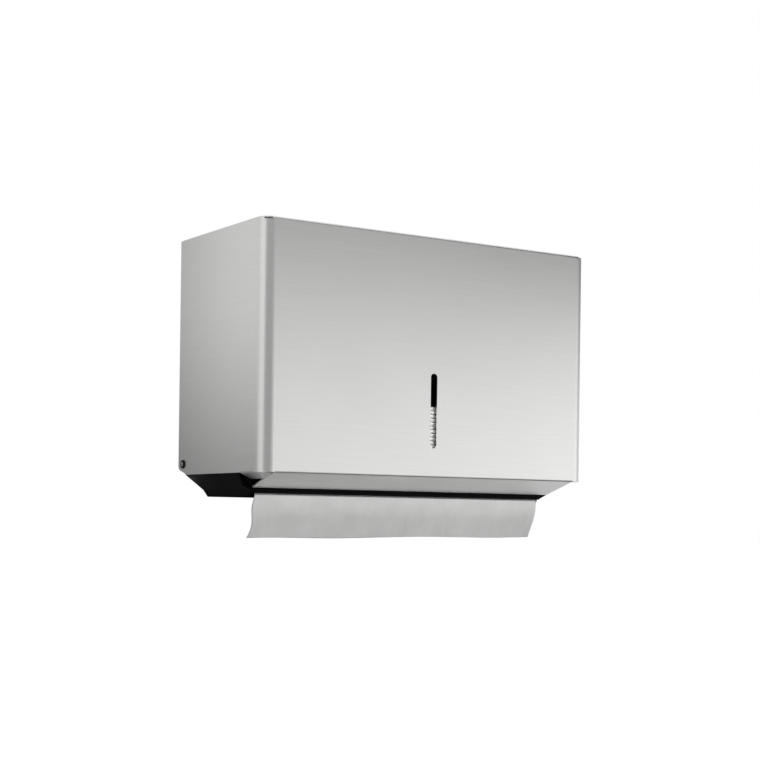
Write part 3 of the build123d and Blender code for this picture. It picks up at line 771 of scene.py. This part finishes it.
class DISPENSER_OT_leading_towel(bpy.types.Operator):
    """Hang the leaf that is pulled next"""

    bl_idname = "dispenser.leading_towel"
    bl_label = "Leading towel"

    across = 220
    along = 72

    # The lower edge rises to the right, and waves between its corners.
    edge_rise = 2.0 * MM
    edge_wave = 0.5 * MM
    edge_turn = 5.2
    edge_start = 0.6
    edge_power = 6

    # The leaf bends over this share of its fall, then hangs straight, with a slight twist.
    bend_share = 0.5
    twist = 0.6 * MM
    twist_turn = 4.7
    stand_off = 0.15 * MM

    # Creases in the noise: weight, count across, count along and place. They grow downwards.
    creases = ((1.0, 14.0, 2.2, 3.0), (0.5, 37.0, 4.0, 8.0))
    crease_power = 0.7

    # The left edge waves, and the right one flares.
    left_wave = 1.5 * MM
    left_power = 8
    right_flare = 0.6 * MM
    right_growth = 2.2 * MM
    right_power = 10

    def leaf_point(self, u, t, settings, low, high, rim):
        """Point of the leaf: u goes from -1 to 1 across it, t from 0 to 1 down it."""
        wave = math.sin(self.edge_turn * u + self.edge_start) * (1 - abs(u) ** self.edge_power)
        bottom = low.z + self.edge_rise / 2 * (u + 1) + self.edge_wave * wave
        z = high.z + (bottom - high.z) * t
        fall = max(0.0, (rim - z) / (rim - bottom))

        share = self.bend_share
        bent = fall * fall if fall < share else 2 * share * fall - share * share
        fully_bent = 2 * share - share * share
        lean = settings.leaf_lean - self.twist * math.sin(self.twist_turn * u)
        crease = 0.0
        for weight, count_across, count_along, place in self.creases:
            crease += weight * noise.noise(Vector((u * count_across, t * count_along, place)))
        y = low.y + lean * bent / fully_bent
        y += settings.wrinkle * crease * fall**self.crease_power + self.stand_off * (1 - fall)

        x = u * (high.x - low.x) / 2
        if u < 0:
            x -= self.left_wave * u**self.left_power * math.sin(2 * math.pi * fall)
        else:
            x += (self.right_flare + self.right_growth * fall) * u**self.right_power
        return x, y, z

    def execute(self, context):
        settings = context.scene.dispenser_paper
        low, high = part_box("leading_towel")
        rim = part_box("hopper_tray")[0].z
        cloth = bmesh.new()
        rows = []
        for j in range(self.along + 1):
            row = []
            for i in range(self.across + 1):
                u = 2 * i / self.across - 1
                row.append(cloth.verts.new(self.leaf_point(u, j / self.along, settings, low, high, rim)))
            rows.append(row)
        for upper, lower in zip(rows, rows[1:]):
            for i in range(self.across):
                face = cloth.faces.new((upper[i], lower[i], lower[i + 1], upper[i + 1]))
                face.smooth = True
        mesh = bpy.data.meshes.new("hanging_towel")
        cloth.to_mesh(mesh)
        cloth.free()
        mesh.materials.append(bpy.data.materials[TISSUE])
        piece = add_piece("hanging_towel", mesh)
        plies = piece.modifiers.new("plies", "SOLIDIFY")
        plies.thickness = settings.leaf_thickness
        plies.offset = -1.0
        graph = context.evaluated_depsgraph_get()
        solid = bpy.data.meshes.new_from_object(piece.evaluated_get(graph), depsgraph=graph)
        piece.modifiers.clear()
        piece.data = solid
        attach(piece, "towel")
        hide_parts("leading_towel")
        return {"FINISHED"}


class DISPENSER_OT_studio(bpy.types.Operator):
    """Set the camera, the floor, the cards and the light"""

    bl_idname = "dispenser.studio"
    bl_label = "Studio"

    floor_reach = 30.0
    card_bottom = -0.6
    card_top = 2.2
    low_card_level = -0.45
    flag_front = -0.32
    # A card of one grey rises evenly, and most cards do not fade.
    even = (-1.0, 0.0)
    no_fade = (0.0, 1.0, 1.0)

    def set_camera(self, scene, settings):
        """Camera at the photograph's viewing angle."""
        data = bpy.data.cameras.new("camera")
        data.lens = settings.lens
        data.shift_y = settings.shift
        camera = bpy.data.objects.new("camera", data)
        scene.collection.objects.link(camera)
        camera.matrix_world = (
            Matrix.Translation(settings.place)
            @ Matrix.Rotation(settings.azimuth, 4, "Z")
            @ Matrix.Rotation(math.radians(90) + settings.pitch, 4, "X")
            @ Matrix.Rotation(settings.roll, 4, "Z")
        )
        scene.camera = camera

    def add_sheet(self, name, corners, material):
        """One flat face of the stage."""
        mesh = bpy.data.meshes.new(name)
        mesh.from_pydata(corners, [], [(0, 1, 2, 3)])
        mesh.materials.append(material)
        sheet = add_piece(name, mesh)
        return sheet

    def lay_floor(self, level):
        """Floor that reaches past every view."""
        reach = self.floor_reach
        corners = [
            (-reach, -reach, level),
            (reach, -reach, level),
            (reach, reach, level),
            (-reach, reach, level),
        ]
        self.add_sheet("floor", corners, floor_paint())

    def light_world(self, scene):
        """White tent to the eye and in the metal, and a weak even fill on the object."""
        world = bpy.data.worlds.new("white_tent")
        scene.world = world
        world.use_nodes = True
        tree = world.node_tree
        tree.nodes.clear()
        fill = add_node(tree, "ShaderNodeBackground", {"Color": linear("#FFFFFF"), "Strength": 0.06})
        white = add_node(tree, "ShaderNodeBackground", {"Color": linear("#FFFFFF"), "Strength": 1.0})
        mixed = add_node(
            tree,
            "ShaderNodeMixShader",
            {0: seen_or_mirrored(tree), 1: fill.outputs[0], 2: white.outputs[0]},
        )
        add_node(tree, "ShaderNodeOutputWorld", {"Surface": mixed.outputs[0]})

    def add_card(self, name, corners, greys, rise=even, fade=no_fade):
        """Card that is seen only in reflections."""
        card = self.add_sheet(name, corners, card_paint(name, greys, rise, fade))
        card.visible_camera = False
        card.visible_diffuse = False
        card.visible_shadow = False

    def stand_card(self, name, azimuth, distance, width, greys, rise):
        """Upright card that faces the dispenser. The azimuth is in degrees, right of the front."""
        turn = math.radians(azimuth)
        out = Vector((math.sin(turn), -math.cos(turn), 0)) * distance
        side = Vector((math.cos(turn), math.sin(turn), 0)) * (width / 2)
        low = Vector((0, 0, self.card_bottom))
        high = Vector((0, 0, self.card_top))
        corners = [out + side + low, out - side + low, out - side + high, out + side + high]
        self.add_card(name, corners, greys, rise)

    def hang_card(self, name, left, right, top, greys, rise, fade):
        """Card on the wall, whose greys are painted shade."""
        bottom = self.card_bottom
        corners = [(left, 0, bottom), (right, 0, bottom), (right, 0, top), (left, 0, top)]
        self.add_card(name, corners, greys, rise, fade)

    def lay_card(self, name, left, right, front, back, grey, fade=no_fade):
        """Level card below the dispenser."""
        level = self.low_card_level
        corners = [(left, front, level), (right, front, level), (right, back, level), (left, back, level)]
        self.add_card(name, corners, (grey, grey), fade=fade)

    def place_cards(self):
        """Greys that the steel mirrors."""
        self.stand_card(
            "card_front", azimuth=25.5, distance=2.5, width=1.0, greys=(1.15, 0.28), rise=(0.15, 0.68)
        )
        self.stand_card(
            "card_front_right", azimuth=52, distance=2.5, width=1.5, greys=(1.37, 0.0), rise=(0.2, 0.56)
        )
        self.stand_card(
            "card_right", azimuth=105, distance=2.2, width=3.1, greys=(0.85, 0.22), rise=(0.05, 0.5)
        )
        self.stand_card(
            "card_camera_side", azimuth=-19, distance=2.6, width=3.4, greys=(0.22, 0.46), rise=(-0.14, 0.02)
        )
        self.stand_card(
            "card_left", azimuth=-85, distance=2.2, width=3.0, greys=(0.66, 0.97), rise=(-0.15, 0.2)
        )
        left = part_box("cover_shell")[0].x
        # Painted shadow: the cabinet's shadow on the wall, drawn as greys that darken close beside and under
        # the cabinet.
        self.hang_card(
            "card_wall_left",
            left=-1.6,
            right=left,
            top=0.9,
            greys=(0.28, 0.77),
            rise=(-0.15, 0.06),
            fade=(left - 0.05, left, 0.72),
        )
        self.hang_card(
            "card_wall_low",
            left=left,
            right=1.2,
            top=-0.1,
            greys=(0.34, 0.24),
            rise=(-0.25, -0.1),
            fade=(-0.06, 0.25, 2.3),
        )
        self.lay_card("flag_under_front", left=-0.15, right=0.8, front=self.flag_front, back=0.05, grey=0.0)
        self.lay_card(
            "card_floor_front",
            left=-0.9,
            right=0.9,
            front=-1.3,
            back=self.flag_front,
            grey=0.75,
            fade=(-0.1, 0.8, 0.5),
        )

    def add_lamp(self, name, place, target, power, size, beam=0.0):
        """Soft square lamp, or a beam that is so many degrees wide. The metal doesn't mirror it."""
        data = bpy.data.lights.new(name, "SPOT" if beam else "AREA")
        data.energy = power
        if beam:
            data.spot_size = math.radians(beam)
            data.spot_blend = 1.0
            data.shadow_soft_size = size
        else:
            data.shape = "SQUARE"
            data.size = size
        lamp = bpy.data.objects.new(name, data)
        bpy.context.scene.collection.objects.link(lamp)
        lamp.location = place
        lamp.rotation_euler = (Vector(target) - Vector(place)).to_track_quat("-Z", "Y").to_euler()
        lamp.visible_camera = False
        lamp.visible_glossy = False

    def place_lamps(self):
        """Light for what is matt: the towels, the tray and the inside."""
        self.add_lamp("key", (0.8, -0.6, 1.5), (0, -0.06, 0), power=1, size=0.9)
        self.add_lamp("front", (0.4, -1.78, 0.45), (0, -0.06, -0.05), power=18, size=0.2)
        self.add_lamp("slot_beam", (-0.4, -1.5, 0.1), (0, -0.126, -0.05), power=24, size=0.005, beam=2.6)
        self.add_lamp("inside_beam", (0.1, -0.4, 1.0), (0, -0.06, -0.03), power=18, size=0.15, beam=22)

    def execute(self, context):
        scene = context.scene
        settings = scene.dispenser_studio
        scene.view_settings.view_transform = "Standard"
        self.set_camera(scene, settings)
        self.lay_floor(settings.floor_level)
        self.light_world(scene)
        self.place_cards()
        self.place_lamps()
        return {"FINISHED"}


class DISPENSER_PT_panel(bpy.types.Panel):
    """Dispenser's pieces and settings"""

    bl_label = "Towel dispenser"
    bl_idname = "DISPENSER_PT_panel"
    bl_space_type = "VIEW_3D"
    bl_region_type = "UI"
    bl_category = "Dispenser"

    def draw(self, context):
        scene = context.scene
        for group in (scene.dispenser_steel, scene.dispenser_paper, scene.dispenser_studio):
            box = self.layout.box()
            for name in group.bl_rna.properties.keys():
                if name not in ("rna_type", "name"):
                    box.prop(group, name)
        for operator in OPERATORS:
            self.layout.operator(operator.bl_idname)


OPERATORS = (
    DISPENSER_OT_cover,
    DISPENSER_OT_wall_frame,
    DISPENSER_OT_fasteners,
    DISPENSER_OT_paper,
    DISPENSER_OT_towel_stack,
    DISPENSER_OT_leading_towel,
    DISPENSER_OT_studio,
)
CLASSES = (SteelSettings, PaperSettings, StudioSettings, *OPERATORS, DISPENSER_PT_panel)


def register():
    for cls in CLASSES:
        bpy.utils.register_class(cls)
    bpy.types.Scene.dispenser_steel = bpy.props.PointerProperty(type=SteelSettings)
    bpy.types.Scene.dispenser_paper = bpy.props.PointerProperty(type=PaperSettings)
    bpy.types.Scene.dispenser_studio = bpy.props.PointerProperty(type=StudioSettings)


def unregister():
    del bpy.types.Scene.dispenser_studio
    del bpy.types.Scene.dispenser_paper
    del bpy.types.Scene.dispenser_steel
    for cls in reversed(CLASSES):
        bpy.utils.unregister_class(cls)


def main():
    register()
    bpy.ops.dispenser.cover()
    bpy.ops.dispenser.wall_frame()
    bpy.ops.dispenser.fasteners()
    bpy.ops.dispenser.paper()
    bpy.ops.dispenser.towel_stack()
    bpy.ops.dispenser.leading_towel()
    bpy.ops.dispenser.studio()


if __name__ == "__main__":
    main()
